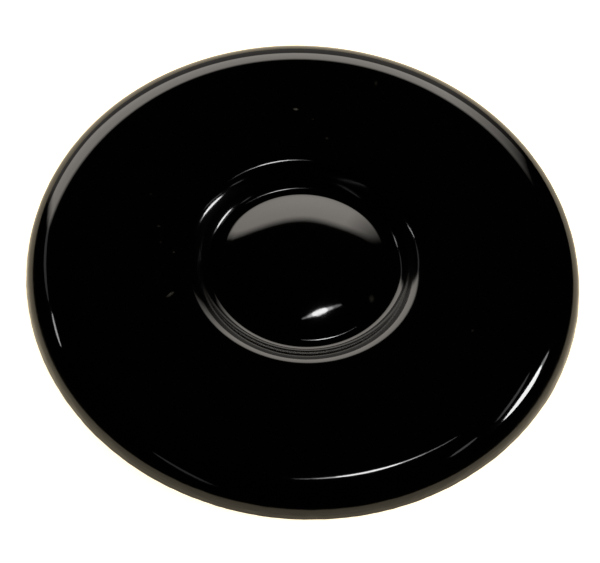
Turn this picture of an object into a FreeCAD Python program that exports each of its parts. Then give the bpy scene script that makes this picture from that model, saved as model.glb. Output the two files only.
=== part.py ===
import FreeCAD, Part

import math
import os
from dataclasses import dataclass

# Gas burner cap: one disc of sheet steel, pressed to shape and enamelled all over.
# Millimetres and degrees. The origin is the centre of the circle that the rim stands on, +Z is up.
# Every bend radius below is the inside radius of the bend, as a press tool maker gives it.

# Overall sizes
cap_diameter = 75.0
sheet_thickness = 1.5          # steel with its coat of enamel on both faces

# Turned-down edge: the flat ring rolls over through three bends into a short skirt
shoulder_inside_radius = 7.5
shoulder_end_slope = 24.0      # below the horizontal, as the two slopes that follow
edge_inside_radius = 2.65
edge_end_slope = 57.5
lip_inside_radius = 0.8
skirt_slope = 82.0
skirt_length = 0.65
edge_break = 0.4               # taken off both corners of the cut edge, along each face

# Hollow in the middle: dome, groove, wall and rim
groove_diameter = 24.15        # the circle along the bottom of the groove
groove_inside_radius = 2.3
foot_slope = 24.0              # where the groove runs into the foot of the wall
foot_inside_radius = 3.3
rim_inside_radius = 2.9
boss_standoff = 0.55           # the boss underneath ends this far above the plane of the rim
dome_drop = 0.26               # the top of the dome lies this far below the flat ring


@dataclass(frozen=True)
class Bend:
    """A bend of the sheet, given by the slope that it ends at and its radius on the upper face."""

    end_slope: float
    upper_radius: float


@dataclass(frozen=True)
class Run:
    """A straight stretch of the sheet."""

    length: float


def sin(degrees):
    return math.sin(math.radians(degrees))


def cos(degrees):
    return math.cos(math.radians(degrees))


def step(distance, slope):
    """A move of some distance, outward and up, at a slope."""
    return FreeCAD.Vector(distance * cos(slope), 0, distance * sin(slope))


def outside_radius(inside_radius):
    """Radius on the outside of a bend."""
    return inside_radius + sheet_thickness


def follow(stretches, start, depth=0.0):
    """Walk outward along the sheet from a level start on its upper face.

    Returns the edges at a depth below that face, and the point where they end.
    """
    edges = []
    slope = 0.0
    here = start - FreeCAD.Vector(0, 0, depth)
    for stretch in stretches:
        if isinstance(stretch, Run):
            there = here + step(stretch.length, slope)
            edges.append(Part.LineSegment(here, there).toShape())
        else:
            side = 1 if stretch.end_slope > slope else -1
            radius = stretch.upper_radius + side * depth
            centre = here + step(radius, slope + side * 90)
            middle = centre - step(radius, (slope + stretch.end_slope) / 2 + side * 90)
            there = centre - step(radius, stretch.end_slope + side * 90)
            edges.append(Part.Arc(here, middle, there).toShape())
            slope = stretch.end_slope
        here = there
    return edges, here


def reach(stretches):
    """How far a row of stretches goes outward and up."""
    end = follow(stretches, FreeCAD.Vector())[1]
    return end.x, end.z


def edge_bends():
    """The bends of the turned-down edge, from the flat ring to the skirt."""
    return [
        Bend(-shoulder_end_slope, outside_radius(shoulder_inside_radius)),
        Bend(-edge_end_slope, outside_radius(edge_inside_radius)),
        Bend(-skirt_slope, outside_radius(lip_inside_radius)),
    ]


def cap_height():
    """Height of the flat ring above the plane that the rim stands on."""
    return -reach(edge_bends() + [Run(skirt_length + edge_break)])[1]


def hollow_depth():
    """Depth of the groove below the flat ring, which leaves the boss its standoff."""
    return cap_height() - sheet_thickness - boss_standoff


def dome_bend():
    """The dome: part of a sphere, which runs smoothly into the bend of the groove."""
    rise = hollow_depth() - dome_drop
    groove_radius = groove_diameter / 2
    centres_apart = (groove_radius ** 2 + rise ** 2) / (2 * rise)
    edge_slope = math.degrees(math.asin(groove_radius / centres_apart))
    return Bend(-edge_slope, centres_apart - groove_inside_radius)


def wall_slope():
    """Steepest slope of the wall, where the bend of its foot turns into the bend of the rim."""
    rim_radius = outside_radius(rim_inside_radius)
    groove_rise = groove_inside_radius * (1 - cos(foot_slope))
    level = groove_rise + foot_inside_radius * cos(foot_slope) + rim_radius - hollow_depth()
    return math.degrees(math.acos(level / (foot_inside_radius + rim_radius)))


def hollow_bends():
    """The hollow, from the top of the dome out to the flat ring."""
    return [
        dome_bend(),
        Bend(foot_slope, groove_inside_radius),
        Bend(wall_slope(), foot_inside_radius),
        Bend(0.0, outside_radius(rim_inside_radius)),
    ]


def sheet_bends():
    """The whole sheet down to the skirt: the hollow, the flat ring and the turned-down edge."""
    edge_width = reach(edge_bends() + [Run(skirt_length)])[0]
    ring_width = cap_diameter / 2 - reach(hollow_bends())[0] - edge_width
    return hollow_bends() + [Run(ring_width)] + edge_bends()


def hem(skirt_end, lip_end):
    """The cut edge, with both its corners broken, and the inner face of the skirt.

    It goes from the end of the skirt's outer face to the end of the lip's inner face.
    """
    outer_corner = skirt_end + step(edge_break, -skirt_slope)
    inner_corner = outer_corner - FreeCAD.Vector(sheet_thickness / sin(skirt_slope), 0, 0)
    across = FreeCAD.Vector(edge_break, 0, 0)
    points = [
        skirt_end,
        outer_corner - across,
        inner_corner + across,
        inner_corner + step(edge_break, 180 - skirt_slope),
        lip_end,
    ]
    return [Part.LineSegment(start, end).toShape() for start, end in zip(points, points[1:])]


def burner_cap():
    """The cap: the section of the sheet, turned once round the axis."""
    dome_top = FreeCAD.Vector(0, 0, cap_height() - dome_drop)
    dome_underside = dome_top - FreeCAD.Vector(0, 0, sheet_thickness)
    upper_face, skirt_end = follow(sheet_bends() + [Run(skirt_length)], dome_top)
    lower_face, lip_end = follow(sheet_bends(), dome_top, sheet_thickness)
    axis = Part.LineSegment(dome_underside, dome_top).toShape()
    edges = upper_face + hem(skirt_end, lip_end) + lower_face + [axis]
    section = Part.Face(Part.Wire(Part.__sortEdges__(edges)))
    return section.revolve(FreeCAD.Vector(), FreeCAD.Vector(0, 0, 1), 360)


os.makedirs("parts", exist_ok=True)
burner_cap().exportStep("parts/burner_cap.step")
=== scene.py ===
"""Looks of the gas burner cap: a disc of pressed sheet steel with a coat of black gloss enamel.

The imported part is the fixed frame, and the visible cap is turned from the same section as its solid.
Sizes are in millimetres and degrees, and the scene itself is in metres.
"""

import logging
import math
from dataclasses import dataclass, field
from enum import Enum

import bpy
from mathutils import Matrix, Quaternion, Vector


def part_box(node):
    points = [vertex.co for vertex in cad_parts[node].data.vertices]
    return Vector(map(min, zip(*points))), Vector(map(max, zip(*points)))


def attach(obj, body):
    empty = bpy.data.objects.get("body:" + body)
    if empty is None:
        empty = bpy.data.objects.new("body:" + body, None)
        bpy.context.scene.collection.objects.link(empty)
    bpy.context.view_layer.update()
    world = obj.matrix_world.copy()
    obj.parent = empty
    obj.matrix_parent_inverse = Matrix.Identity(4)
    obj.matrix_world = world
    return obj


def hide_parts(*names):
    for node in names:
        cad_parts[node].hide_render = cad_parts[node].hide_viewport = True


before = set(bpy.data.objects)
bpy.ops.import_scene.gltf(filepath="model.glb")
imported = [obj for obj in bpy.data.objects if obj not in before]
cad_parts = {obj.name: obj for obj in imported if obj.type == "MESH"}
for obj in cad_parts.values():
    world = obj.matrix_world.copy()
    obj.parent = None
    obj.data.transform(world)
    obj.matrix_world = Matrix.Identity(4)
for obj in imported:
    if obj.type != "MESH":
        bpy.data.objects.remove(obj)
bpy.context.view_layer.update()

MM = 0.001
MERGE_DISTANCE = 0.001
IMAGE_WIDTH = 600
CAP_NODE = "burner_cap"
BODY = "root"
log = logging.getLogger("burner_cap")


class Coat(Enum):
    """The two enamel finishes of the cap, by their material slot."""

    GLOSS = 0
    GROUND = 1


def linear_colour(hex_code: str) -> tuple[float, float, float, float]:
    """Turn an sRGB hex colour into a linear one.

    Args:
        hex_code: Colour as "#rrggbb".

    Returns:
        Linear red, green and blue, and an alpha of 1.
    """
    channels = [int(hex_code[i:i + 2], 16) / 255 for i in (1, 3, 5)]
    linear = [c / 12.92 if c <= 0.04045 else ((c + 0.055) / 1.055) ** 2.4 for c in channels]
    return (*linear, 1.0)


def add_node(tree: bpy.types.NodeTree, kind: str, inputs: dict | None = None, **settings) -> bpy.types.Node:
    """Add a node with its settings, and fill its inputs.

    Args:
        tree: Node tree that takes the node.
        kind: Type name of the node.
        inputs: Input sockets by name or number, each with a value or with the output socket to link.
        **settings: Properties of the node.

    Returns:
        The new node.
    """
    node = tree.nodes.new(kind)
    for name, value in settings.items():
        setattr(node, name, value)
    for socket, value in (inputs or {}).items():
        if isinstance(value, bpy.types.NodeSocket):
            tree.links.new(value, node.inputs[socket])
        else:
            node.inputs[socket].default_value = value
    return node


def new_material(name: str) -> bpy.types.Material:
    """Make an empty node material.

    Args:
        name: Name of the material.

    Returns:
        The material, with no nodes in its tree.
    """
    material = bpy.data.materials.new(name)
    material.use_nodes = True
    material.node_tree.nodes.clear()
    return material


def heading_vector(degrees: float) -> Vector:
    """Unit vector in the plane of the section, outward along X at 0 and up along Z at 90 degrees."""
    return Vector((math.cos(math.radians(degrees)), 0, math.sin(math.radians(degrees))))


def sky_vector(azimuth: float, elevation: float) -> Vector:
    """Unit vector towards a place around the cap.

    Args:
        azimuth: Degrees from the far side, positive to the right.
        elevation: Degrees above the floor.

    Returns:
        The direction, in the part's frame.
    """
    level = math.cos(math.radians(elevation))
    turn = math.radians(azimuth)
    return Vector((level * math.sin(turn), level * math.cos(turn), math.sin(math.radians(elevation))))


@dataclass(frozen=True)
class Mote:
    """A fleck of dust or lint that lies on the cap, as an ellipse in plan."""

    x: float
    y: float
    length: float
    width: float
    heading: float
    cover: float


@dataclass(frozen=True)
class DullRing:
    """A ring round the axis where the coat has run thin over a tight bend and is less glossy."""

    radius: float
    half_width: float
    roughness: float


@dataclass(frozen=True)
class VitreousEnamel:
    """Vitreous enamel: a glass coat fired onto the steel.

    Black right through, so nearly all that the eye gets from it is what its gloss mirrors. Firing leaves
    a faint orange peel, which softens the edges of bright reflections, and a haze, which changes the gloss
    slowly from place to place. The noise of the haze mostly keeps between its low and its high value.
    """

    name: str
    colour: str
    roughness_low: float
    roughness_high: float
    peel_size: float
    peel_depth: float
    peel_detail: float = 2.0
    haze_size: float = 9.0
    haze_detail: float = 3.0
    haze_low: float = 0.3
    haze_high: float = 0.7
    ior: float = 1.4
    dust_colour: str = "#b9b4a4"
    dust_roughness: float = 0.9
    motes: tuple[Mote, ...] = ()
    dull_rings: tuple[DullRing, ...] = ()

    def dulled(self, tree: bpy.types.NodeTree, place: bpy.types.NodeSocket,
               roughness: bpy.types.NodeSocket) -> bpy.types.NodeSocket:
        """Make the gloss softer along the dull rings.

        Args:
            tree: Node tree of the enamel.
            place: Object coordinates.
            roughness: Roughness of the open surface.

        Returns:
            The roughness with the rings in it.
        """
        plan = add_node(tree, "ShaderNodeVectorMath", {0: place, 1: (1, 1, 0)}, operation="MULTIPLY")
        out = add_node(tree, "ShaderNodeVectorMath", {0: plan.outputs[0]}, operation="LENGTH")
        for ring in self.dull_rings:
            away = add_node(tree, "ShaderNodeMath", {0: out.outputs["Value"], 1: ring.radius * MM},
                            operation="SUBTRACT")
            apart = add_node(tree, "ShaderNodeMath", {0: away.outputs[0]}, operation="ABSOLUTE")
            share = add_node(tree, "ShaderNodeMapRange", {
                "Value": apart.outputs[0], "From Min": ring.half_width * MM, "From Max": 0.0,
            }, interpolation_type="SMOOTHSTEP")
            roughness = add_node(tree, "ShaderNodeMix", {
                "Factor": share.outputs[0], "A": roughness, "B": ring.roughness,
            }, data_type="FLOAT").outputs["Result"]
        return roughness

    def dust_mask(self, tree: bpy.types.NodeTree,
                  place: bpy.types.NodeSocket) -> bpy.types.NodeSocket | float:
        """Draw where dust covers the gloss.

        Args:
            tree: Node tree of the enamel.
            place: Object coordinates.

        Returns:
            The cover from 0 to 1, or plain 0 where there are no motes.
        """
        cover: bpy.types.NodeSocket | float = 0.0
        for mote in self.motes:
            spot = add_node(tree, "ShaderNodeMapping", {
                "Vector": place,
                "Location": (mote.x * MM, mote.y * MM, 0),
                "Rotation": (0, 0, math.radians(mote.heading)),
                "Scale": (mote.length / 2 * MM, mote.width / 2 * MM, 1),
            }, vector_type="TEXTURE")
            fall = add_node(tree, "ShaderNodeTexGradient", {"Vector": spot.outputs[0]},
                            gradient_type="SPHERICAL")
            body = add_node(tree, "ShaderNodeMath", {0: fall.outputs["Fac"], 1: mote.cover},
                            operation="MULTIPLY", use_clamp=True)
            both = add_node(tree, "ShaderNodeMath", {0: body.outputs[0], 1: cover}, operation="MAXIMUM")
            cover = both.outputs[0]
        return cover

    def material(self) -> bpy.types.Material:
        """Make the enamel.

        Returns:
            The finished material.
        """
        material = new_material(self.name)
        tree = material.node_tree
        place = add_node(tree, "ShaderNodeTexCoord").outputs["Object"]
        # Slow changes of the gloss, from the firing
        haze = add_node(tree, "ShaderNodeTexNoise", {
            "Vector": place, "Scale": 1 / (self.haze_size * MM), "Detail": self.haze_detail,
        })
        gloss = add_node(tree, "ShaderNodeMapRange", {
            "Value": haze.outputs["Fac"], "From Min": self.haze_low, "From Max": self.haze_high,
            "To Min": self.roughness_low, "To Max": self.roughness_high,
        })
        # Orange peel: low waves that soften the edges of the lamps' reflections
        waves = add_node(tree, "ShaderNodeTexNoise", {
            "Vector": place, "Scale": 1 / (self.peel_size * MM), "Detail": self.peel_detail,
        })
        peel = add_node(tree, "ShaderNodeBump", {
            "Height": waves.outputs["Fac"], "Strength": 1.0, "Distance": self.peel_depth * MM,
        })
        colour = linear_colour(self.colour)
        roughness = self.dulled(tree, place, gloss.outputs[0])
        if self.motes:
            # Dust is dull and pale where it covers the gloss
            cover = self.dust_mask(tree, place)
            colour = add_node(tree, "ShaderNodeMix", {
                "Factor": cover, "A": colour, "B": linear_colour(self.dust_colour),
            }, data_type="RGBA").outputs["Result"]
            roughness = add_node(tree, "ShaderNodeMix", {
                "Factor": cover, "A": roughness, "B": self.dust_roughness,
            }, data_type="FLOAT").outputs["Result"]
        shader = add_node(tree, "ShaderNodeBsdfPrincipled", {
            "Base Color": colour, "Roughness": roughness, "IOR": self.ior, "Normal": peel.outputs[0],
        })
        add_node(tree, "ShaderNodeOutputMaterial", {"Surface": shader.outputs[0]})
        return material


GLOSS_ENAMEL = VitreousEnamel(
    name="vitreous_enamel_gloss_black",
    colour="#020202",
    roughness_low=0.03,
    roughness_high=0.05,
    peel_size=0.6,
    peel_depth=0.0008,
    # Radius, half width and roughness: the wall of the hollow, its steepest part and the hem
    dull_rings=(
        DullRing(14.2, 3.0, 0.09),
        DullRing(14.2, 0.9, 0.2),
        DullRing(36.9, 1.6, 0.16),
    ),
    # Place in plan, length, width, heading and cover
    motes=(
        Mote(-17.38, -7.41, 1.3, 0.5, 45, 0.17),
        Mote(-17.65, -7.75, 0.9, 0.4, 20, 0.08),
        Mote(-2.95, 24.24, 0.9, 0.5, 0, 0.22),
        Mote(9.35, -4.4, 0.9, 1.4, 0, 0.055),
        Mote(1.65, 19.79, 0.5, 0.6, 0, 0.045),
        Mote(-19.98, 3.16, 0.6, 0.45, 0, 0.05),
        Mote(22.95, -9.17, 0.45, 0.5, 0, 0.045),
        Mote(-17.58, -0.79, 0.45, 0.45, 0, 0.06),
        Mote(-19.48, 0.64, 0.45, 0.45, 0, 0.03),
        Mote(-21.55, 8.21, 0.45, 0.45, 0, 0.025),
        Mote(7.85, 29.77, 0.6, 1.2, 0, 0.03),
        Mote(-0.49, 22.79, 0.45, 0.35, 0, 0.03),
    ),
)
# Ground coat: the first firing alone, as the hidden side has it, which looks satin and a little greyer
GROUND_ENAMEL = VitreousEnamel(
    name="vitreous_enamel_ground_coat",
    colour="#0a0a0b",
    roughness_low=0.22,
    roughness_high=0.34,
    peel_size=0.5,
    peel_depth=0.004,
)


@dataclass(frozen=True)
class Stretch:
    """One stretch of the section: a bend if it turns, and a straight run if not.

    The radius is that of the upper face, and the slope changes by the turn, positive upward.
    """

    length: float = 0.0
    turn: float = 0.0
    radius: float = 0.0

    def backward(self, depth: float) -> "Stretch":
        """The same stretch at a depth below the upper face, walked from its far end."""
        side = math.copysign(1, self.turn)
        return Stretch(self.length, -self.turn, self.radius + side * depth if self.turn else 0.0)


class SectionPen:
    """Draws an outline in edit mode, from one vertex on."""

    def __init__(self, start: Vector) -> None:
        """Put down the first vertex.

        Args:
            start: Where the outline starts, in millimetres.
        """
        bpy.ops.object.select_all(action="DESELECT")
        bpy.ops.mesh.primitive_plane_add(size=MM)
        bpy.ops.object.mode_set(mode="EDIT")
        bpy.ops.mesh.merge(type="CENTER")
        bpy.ops.transform.translate(value=start * MM)
        self.here = start.copy()
        self.heading = 0.0

    def run(self, length: float) -> None:
        """Extrude a straight line.

        Args:
            length: Its length in millimetres.
        """
        move = heading_vector(self.heading) * length
        bpy.ops.mesh.extrude_vertices_move(TRANSFORM_OT_translate={"value": move * MM})
        self.here += move

    def bend(self, turn: float, radius: float, slope_step: float) -> None:
        """Spin an arc.

        Args:
            turn: Change of heading in degrees, positive to the left.
            radius: Radius of the arc in millimetres.
            slope_step: Largest turn of one edge, in degrees.
        """
        to_centre = self.heading + math.copysign(90, turn)
        centre = self.here + heading_vector(to_centre) * radius
        steps = math.ceil(abs(turn) / slope_step)
        bpy.ops.mesh.spin(steps=steps, angle=math.radians(turn), center=centre * MM, axis=(0, 1, 0))
        self.heading += turn
        self.here = centre - heading_vector(to_centre + turn) * radius

    def follow(self, stretches: list[Stretch], slope_step: float) -> None:
        """Draw stretches one after another.

        Args:
            stretches: The stretches, in order.
            slope_step: Largest turn of one edge, in degrees.
        """
        for stretch in stretches:
            if stretch.turn:
                self.bend(stretch.turn, stretch.radius, slope_step)
            else:
                self.run(stretch.length)

    def sweep(self, turn: float, steps: int, name: str) -> bpy.types.Object:
        """Turn the whole outline about the Z axis, and leave edit mode.

        Args:
            turn: Angle in degrees, clockwise seen from above.
            steps: Number of steps.
            name: Name of the new object.

        Returns:
            The object, smooth and with its normals outward.
        """
        bpy.ops.mesh.select_all(action="SELECT")
        bpy.ops.mesh.spin(steps=steps, angle=math.radians(turn), center=(0, 0, 0), axis=(0, 0, 1))
        bpy.ops.mesh.select_all(action="SELECT")
        bpy.ops.mesh.remove_doubles(threshold=MERGE_DISTANCE * MM)
        bpy.ops.mesh.normals_make_consistent(inside=False)
        bpy.ops.object.mode_set(mode="OBJECT")
        bpy.ops.object.shade_smooth()
        made = bpy.context.object
        made.name = name
        made.data.name = name
        return made


@dataclass
class BurnerCap:
    """The cap: one disc of pressed sheet, with a domed hollow and a turned-down edge.

    Inside radii are those of the sheet's bends, as in the part's source.
    """

    # Section of the sheet
    sheet_thickness: float = 1.5
    shoulder_inside_radius: float = 7.5
    shoulder_end_slope: float = 24.0
    edge_inside_radius: float = 2.65
    edge_end_slope: float = 57.5
    lip_inside_radius: float = 0.8
    skirt_slope: float = 82.0
    skirt_length: float = 0.65
    edge_break: float = 0.4
    groove_diameter: float = 24.15
    groove_inside_radius: float = 2.3
    foot_slope: float = 24.0
    foot_inside_radius: float = 3.3
    rim_inside_radius: float = 2.9
    boss_standoff: float = 0.55
    dome_drop: float = 0.26
    # Apron at the foot of the dome, where the coat pools and fills the groove a little, on the upper face
    dome_end_slope: float = 17.1
    apron_length: float = 0.8
    apron_radius: float = 6.0
    apron_end_slope: float = 13.0
    # Fineness of the mesh, with the largest turn of one edge along the section
    ring_margin: float = 0.3
    upper_slope_step: float = 1.6
    hem_slope_step: float = 12.0
    lower_slope_step: float = 7.5
    turns_round: int = 440
    # Unevenness of the hem: the heights where it starts and is full, and the size and depth of its waves
    uneven_top: float = 2.2
    uneven_full: float = 1.4
    unevenness: tuple[tuple[float, float], ...] = ((3.0, 0.06), (1.0, 0.1))
    # Least outward part of a face's normal where the gloss coat wraps round the cut edge
    gloss_wrap: float = 0.2
    # Overall size, from the frame
    radius: float = field(init=False)
    height: float = field(init=False)

    def __post_init__(self) -> None:
        """Take the overall size from the frame."""
        low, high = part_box(CAP_NODE)
        self.radius = (high.x - low.x) / 2 / MM
        self.height = (high.z - low.z) / MM

    def hollow(self) -> list[Stretch]:
        """Work out the hollow, from the top of the dome to the flat ring.

        Returns:
            Its stretches along the upper face.
        """
        rise = self.height - self.sheet_thickness - self.boss_standoff - self.dome_drop
        groove_centre = self.groove_diameter / 2
        dome_radius = (groove_centre ** 2 + rise ** 2) / (2 * rise) - self.groove_inside_radius
        dome = [
            Stretch(turn=-self.dome_end_slope, radius=dome_radius),
            Stretch(length=self.apron_length),
            Stretch(turn=self.dome_end_slope - self.apron_end_slope, radius=self.apron_radius),
        ]
        groove_floor = Stretch(turn=self.apron_end_slope, radius=self.groove_inside_radius)
        depth = self.dome_drop - self.reach([*dome, groove_floor]).z
        rim_radius = self.rim_inside_radius + self.sheet_thickness
        foot_cos = math.cos(math.radians(self.foot_slope))
        foot_rise = self.groove_inside_radius * (1 - foot_cos)
        level = foot_rise + self.foot_inside_radius * foot_cos + rim_radius - depth
        wall_slope = math.degrees(math.acos(level / (self.foot_inside_radius + rim_radius)))
        return [
            *dome,
            Stretch(turn=self.apron_end_slope + self.foot_slope, radius=self.groove_inside_radius),
            Stretch(turn=wall_slope - self.foot_slope, radius=self.foot_inside_radius),
            Stretch(turn=-wall_slope, radius=rim_radius),
        ]

    def edge(self) -> list[Stretch]:
        """Work out the turned-down edge, from the flat ring to the skirt.

        Returns:
            Its stretches along the upper face.
        """
        slopes = [0.0, self.shoulder_end_slope, self.edge_end_slope, self.skirt_slope]
        radii = [self.shoulder_inside_radius, self.edge_inside_radius, self.lip_inside_radius]
        return [
            Stretch(turn=before - after, radius=radius + self.sheet_thickness)
            for before, after, radius in zip(slopes, slopes[1:], radii)
        ]

    def ring(self) -> list[Stretch]:
        """Work out the flat ring, with a narrow margin at each side that keeps its middle flat.

        Returns:
            Its stretches along the upper face.
        """
        width = self.radius - self.reach(self.hollow()).x - self.reach(self.edge()).x
        slope = math.radians(self.skirt_slope)
        width -= self.skirt_length * math.cos(slope)
        width -= self.corner_radius(180 - self.skirt_slope) * (1 - math.sin(slope))
        margin = Stretch(length=self.ring_margin)
        return [margin, Stretch(length=width - 2 * self.ring_margin), margin]

    @staticmethod
    def reach(stretches: list[Stretch]) -> Vector:
        """Measure how far a row of stretches goes.

        Args:
            stretches: Stretches, the first of which starts level.

        Returns:
            The way outward along X and up along Z, in millimetres.
        """
        slope = 0.0
        way = Vector()
        for stretch in stretches:
            to_centre = slope + math.copysign(90, stretch.turn)
            way += heading_vector(slope) * stretch.length
            way += (heading_vector(to_centre) - heading_vector(to_centre + stretch.turn)) * stretch.radius
            slope += stretch.turn
        return way

    def corner_radius(self, turn: float) -> float:
        """Work out the rounding that enamel leaves on a broken corner of the cut edge.

        Args:
            turn: Angle that the corner turns through, in degrees.

        Returns:
            Radius that touches both faces where the break starts, in millimetres.
        """
        return self.edge_break / math.tan(math.radians(turn / 2))

    def hem(self, pen: SectionPen) -> None:
        """Draw the rounded cut edge and the inner face of the skirt.

        Args:
            pen: Pen that has come to the end of the skirt's outer face.
        """
        outer_turn = 180 - self.skirt_slope
        cut_width = self.sheet_thickness / math.sin(math.radians(self.skirt_slope))
        lean = self.sheet_thickness / math.tan(math.radians(self.skirt_slope))
        pen.bend(-outer_turn, self.corner_radius(outer_turn), self.hem_slope_step)
        pen.run(cut_width - 2 * self.edge_break)
        pen.bend(-self.skirt_slope, self.corner_radius(self.skirt_slope), self.hem_slope_step)
        pen.run(self.skirt_length - lean)

    def build(self) -> bpy.types.Object:
        """Draw the section and turn it once round the axis.

        Returns:
            The visible cap.
        """
        upper = self.hollow() + self.ring() + self.edge()
        pen = SectionPen(Vector((0, 0, self.height - self.dome_drop)))
        pen.follow(upper + [Stretch(length=self.skirt_length)], self.upper_slope_step)
        self.hem(pen)
        pen.follow([s.backward(self.sheet_thickness) for s in reversed(upper)], self.lower_slope_step)
        log.info("section closes %.6f mm from the axis at height %.4f mm", pen.here.x, pen.here.z)
        return pen.sweep(360, self.turns_round, "enamelled_cap")

    def in_skirt(self, place: Vector) -> bool:
        """Tell whether a place lies within one thickness of the cap's outside, as the skirt does.

        Args:
            place: A place on the cap, in metres.

        Returns:
            True for the skirt, and False for all that lies further in.
        """
        return math.hypot(place.x, place.y) / MM > self.radius - self.sheet_thickness

    def roughen_hem(self, cap: bpy.types.Object) -> None:
        """Sink the lower part of the skirt a little here and there, as a fired coat draws back at its edge.

        Args:
            cap: The visible cap.
        """
        hem = cap.vertex_groups.new(name="hem")
        for vertex in cap.data.vertices:
            share = (self.uneven_top - vertex.co.z / MM) / (self.uneven_top - self.uneven_full)
            if self.in_skirt(vertex.co) and share > 0:
                hem.add([vertex.index], min(share, 1.0), "REPLACE")
        for wave, depth in self.unevenness:
            clouds = bpy.data.textures.new("hem_waves", "CLOUDS")
            clouds.noise_scale = wave * MM
            waves = cap.modifiers.new("hem_waves", "DISPLACE")
            waves.texture = clouds
            waves.vertex_group = hem.name
            waves.mid_level = 1.0
            waves.strength = depth * MM
            bpy.ops.object.modifier_apply(modifier=waves.name)

    def dress(self, cap: bpy.types.Object) -> None:
        """Give the upper face its gloss coat and the underside its ground coat.

        Args:
            cap: The visible cap.
        """
        cap.data.materials.clear()
        cap.data.materials.append(GLOSS_ENAMEL.material())
        cap.data.materials.append(GROUND_ENAMEL.material())
        for face in cap.data.polygons:
            outward = face.normal.dot(Vector((face.center.x, face.center.y, 0)).normalized())
            # The gloss coat wraps round the outer corner of the cut edge
            wrapped = self.in_skirt(face.center) and outward > self.gloss_wrap
            under = face.normal.z < 0 and not wrapped
            face.material_index = (Coat.GROUND if under else Coat.GLOSS).value


@dataclass(frozen=True)
class Softbox:
    """A white lamp with an oval front, given by where it stands and how large it looks from the cap.

    All but its name and its radiance is in degrees. The heading is that of its length, in plan.
    """

    name: str
    azimuth: float
    elevation: float
    length: float
    width: float
    heading: float
    radiance: float


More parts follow.
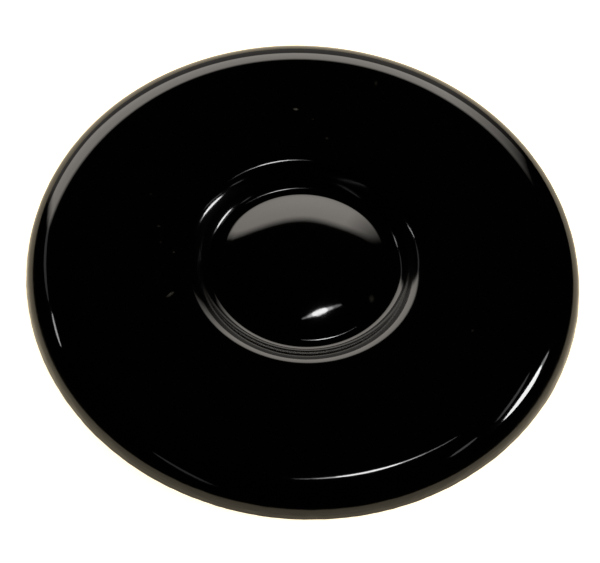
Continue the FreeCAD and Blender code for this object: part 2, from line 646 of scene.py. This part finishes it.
@dataclass
class Studio:
    """The pale floor, the lamps and the pale screen round the far side, in a dark room.

    Its lengths are in metres, unlike those of the cap.
    """

    lamp_distance: float = 2.0
    floor_radius: float = 6.0
    floor_corners: int = 128
    floor_colour: str = "#ffefd0"
    floor_lift: float = 1.45
    floor_mirror_lift: float = 0.95
    room_level: float = 0.002
    screen_distance: float = 2.0
    screen_bend: float = 3.6
    screen_left: float = -29.5
    screen_left_fade: float = 3.0
    screen_right: float = 17.0
    screen_right_fade: float = 9.0
    screen_bottom: float = 0.62
    screen_bottom_fade: float = 0.05
    screen_bottom_dim: float = 0.115
    screen_top: float = 1.46
    screen_top_fade: float = 0.21
    # Angles where a rise of the top edge starts and is full, and its height
    screen_top_rises: tuple[tuple[float, float, float], ...] = ((1.0, -15.0, 0.17), (0.0, 8.0, 0.042))
    screen_steps: int = 48
    screen_radiance: float = 4.5
    screen_colour: str = "#fff8ef"
    # Name, azimuth, elevation, length, width, heading and radiance
    softboxes: tuple[Softbox, ...] = (
        Softbox("overhead", 50.9, 79.2, 7.6, 2.8, 31, 15),
        Softbox("overhead_middle", 50.9, 79.0, 12.5, 2.2, 31, 6.5),
        Softbox("overhead_ends", 50.9, 78.4, 19, 1.5, 31, 3.5),
        Softbox("right", 77.9, 46.7, 14.5, 5.8, -100, 24),
        Softbox("right_far", 68.4, 44.2, 7.0, 3.0, -131, 4.5),
        Softbox("right_upper", 71.4, 54.8, 13, 2.4, -79, 1.1),
        Softbox("right_near", 96, 59, 7.0, 2.4, -107, 1.3),
        Softbox("left", -69.2, 45.3, 8.0, 2.0, 73.5, 8),
        Softbox("left_far", -53.5, 37, 17, 3.5, 110, 0.6),
        Softbox("left_near", -140.4, 48.2, 24, 4, 97.8, 0.5),
    )

    def floor(self) -> bpy.types.Object:
        """Make the floor: a white sheet, warm where it isn't bright enough to look white.

        Returns:
            The floor.
        """
        bpy.ops.object.select_all(action="DESELECT")
        bpy.ops.mesh.primitive_circle_add(vertices=self.floor_corners, radius=self.floor_radius,
                                          fill_type="NGON")
        floor = bpy.context.object
        floor.name = "floor"
        material = new_material("warm_white_paper")
        tree = material.node_tree
        rays = add_node(tree, "ShaderNodeLightPath")
        # The floor looks brighter to the camera and in the cap than the light that it gives
        mirror_lift = add_node(tree, "ShaderNodeMath", {
            0: rays.outputs["Is Glossy Ray"], 1: self.floor_mirror_lift,
        }, operation="MULTIPLY")
        lift = add_node(tree, "ShaderNodeMath", {
            0: rays.outputs["Is Camera Ray"], 1: self.floor_lift, 2: mirror_lift.outputs[0],
        }, operation="MULTIPLY_ADD")
        paper = add_node(tree, "ShaderNodeBsdfDiffuse", {"Color": linear_colour(self.floor_colour)})
        glow = add_node(tree, "ShaderNodeEmission", {
            "Color": linear_colour(self.floor_colour), "Strength": lift.outputs[0],
        })
        both = add_node(tree, "ShaderNodeAddShader", {0: paper.outputs[0], 1: glow.outputs[0]})
        add_node(tree, "ShaderNodeOutputMaterial", {"Surface": both.outputs[0]})
        floor.data.materials.append(material)
        return floor

    def screen(self) -> bpy.types.Object:
        """Make the pale screen that bends round the far side, soft along its top and its ends.

        Returns:
            The screen, with the centre of its bend as its origin.
        """
        left, right = math.radians(self.screen_left), math.radians(self.screen_right)
        pen = SectionPen(Vector((math.sin(left), math.cos(left), 0)) * self.screen_bend / MM)
        pen.heading = 90.0
        pen.run((self.screen_top + max(height for *_, height in self.screen_top_rises)) / MM)
        screen = pen.sweep(self.screen_right - self.screen_left, self.screen_steps, "screen")
        screen.location.y = self.screen_distance - self.screen_bend
        screen.visible_camera = False
        material = new_material("pale_screen")
        tree = material.node_tree
        place = add_node(tree, "ShaderNodeSeparateXYZ",
                         {0: add_node(tree, "ShaderNodeTexCoord").outputs["Object"]})
        turn = add_node(tree, "ShaderNodeMath", {0: place.outputs["X"], 1: place.outputs["Y"]},
                        operation="ARCTAN2")
        # The top edge is lowest near the middle and rises towards both ends
        under = place.outputs["Z"]
        for start, full, height in self.screen_top_rises:
            rise = add_node(tree, "ShaderNodeMapRange", {
                "Value": turn.outputs[0], "From Min": math.radians(start), "From Max": math.radians(full),
                "To Max": height,
            }, interpolation_type="SMOOTHSTEP")
            under = add_node(tree, "ShaderNodeMath", {0: under, 1: rise.outputs[0]},
                             operation="SUBTRACT").outputs[0]
        fades = (
            (turn.outputs[0], left, left + math.radians(self.screen_left_fade), 0.0),
            (turn.outputs[0], right, right - math.radians(self.screen_right_fade), 0.0),
            (place.outputs["Z"], self.screen_bottom, self.screen_bottom + self.screen_bottom_fade,
             self.screen_bottom_dim),
            (under, self.screen_top, self.screen_top - self.screen_top_fade, 0.0),
        )
        strength: bpy.types.NodeSocket | float = self.screen_radiance
        for along, dark, full, dim in fades:
            ramp = add_node(tree, "ShaderNodeMapRange", {
                "Value": along, "From Min": dark, "From Max": full, "To Min": dim,
            })
            strength = add_node(tree, "ShaderNodeMath", {0: ramp.outputs[0], 1: strength},
                                operation="MULTIPLY").outputs[0]
        glow = add_node(tree, "ShaderNodeEmission", {
            "Color": linear_colour(self.screen_colour), "Strength": strength,
        })
        add_node(tree, "ShaderNodeOutputMaterial", {"Surface": glow.outputs[0]})
        screen.data.materials.append(material)
        return screen

    def lamp(self, box: Softbox) -> bpy.types.Object:
        """Hang a softbox so that it faces the cap.

        Args:
            box: Where it stands and how large it looks.

        Returns:
            The lamp.
        """
        towards = sky_vector(box.azimuth, box.elevation)
        plan = math.radians(box.heading)
        along = Vector((math.cos(plan), math.sin(plan), 0))
        along = (along - towards * along.dot(towards)).normalized()
        bpy.ops.object.light_add(type="AREA")
        lamp = bpy.context.object
        lamp.name = f"softbox_{box.name}"
        across = towards.cross(along)
        lamp.matrix_world = Matrix.Translation(towards * self.lamp_distance) @ Matrix(
            (along, across, towards)).transposed().to_4x4()
        lamp.data.shape = "ELLIPSE"
        lamp.data.size = 2 * self.lamp_distance * math.tan(math.radians(box.length / 2))
        lamp.data.size_y = 2 * self.lamp_distance * math.tan(math.radians(box.width / 2))
        lamp.data.energy = math.pi * lamp.data.size * lamp.data.size_y * box.radiance
        lamp.visible_camera = False
        return lamp

    def room(self) -> None:
        """Make the room round the table nearly dark."""
        world = bpy.data.worlds.new("dark_room")
        world.use_nodes = True
        background = world.node_tree.nodes["Background"]
        background.inputs["Color"].default_value = (1, 1, 1, 1)
        background.inputs["Strength"].default_value = self.room_level
        bpy.context.scene.world = world

    def build(self) -> None:
        """Set up the floor, the screen, the lamps and the room."""
        for surface in (self.floor(), self.screen()):
            log.info("stage: %s", surface.name)
        for box in self.softboxes:
            log.info("lamp: %s", self.lamp(box).name)
        self.room()


@dataclass
class PhotoCamera:
    """The camera, at the photograph's viewing angle. It stands at the -Y side and looks down on the cap."""

    elevation: float = 57.435
    distance: float = 412.5
    focal_pixels: float = 3074.2
    roll: float = 4.67
    aim_x: float = -0.39
    aim_y: float = -3.76
    sensor_width: float = 36.0
    clip_start: float = 10.0

    def build(self, ring_height: float) -> bpy.types.Object:
        """Set up the camera.

        Args:
            ring_height: Height of the cap's flat ring, in millimetres.

        Returns:
            The camera.
        """
        centre = Vector((0, 0, ring_height))
        stand = centre + sky_vector(180, self.elevation) * self.distance
        aim = Vector((self.aim_x, self.aim_y, ring_height))
        turn = (aim - stand).to_track_quat("-Z", "Y")
        turn = turn @ Quaternion((0, 0, 1), math.radians(self.roll))
        bpy.ops.object.camera_add(location=stand * MM)
        camera = bpy.context.object
        camera.rotation_euler = turn.to_euler()
        camera.data.sensor_fit = "HORIZONTAL"
        camera.data.sensor_width = self.sensor_width
        camera.data.lens = self.focal_pixels / IMAGE_WIDTH * self.sensor_width
        camera.data.clip_start = self.clip_start * MM
        bpy.context.scene.camera = camera
        return camera


def main() -> None:
    """Build the cap, the studio and the camera."""
    logging.basicConfig(level=logging.INFO, format="%(name)s: %(message)s")
    bpy.context.scene.view_settings.view_transform = "Standard"
    cap = BurnerCap()
    piece = cap.build()
    cap.dress(piece)
    cap.roughen_hem(piece)
    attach(piece, BODY)
    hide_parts(CAP_NODE)
    log.info("piece: %s, %d faces", piece.name, len(piece.data.polygons))
    Studio().build()
    PhotoCamera().build(cap.height)


if __name__ == "__main__":
    main()
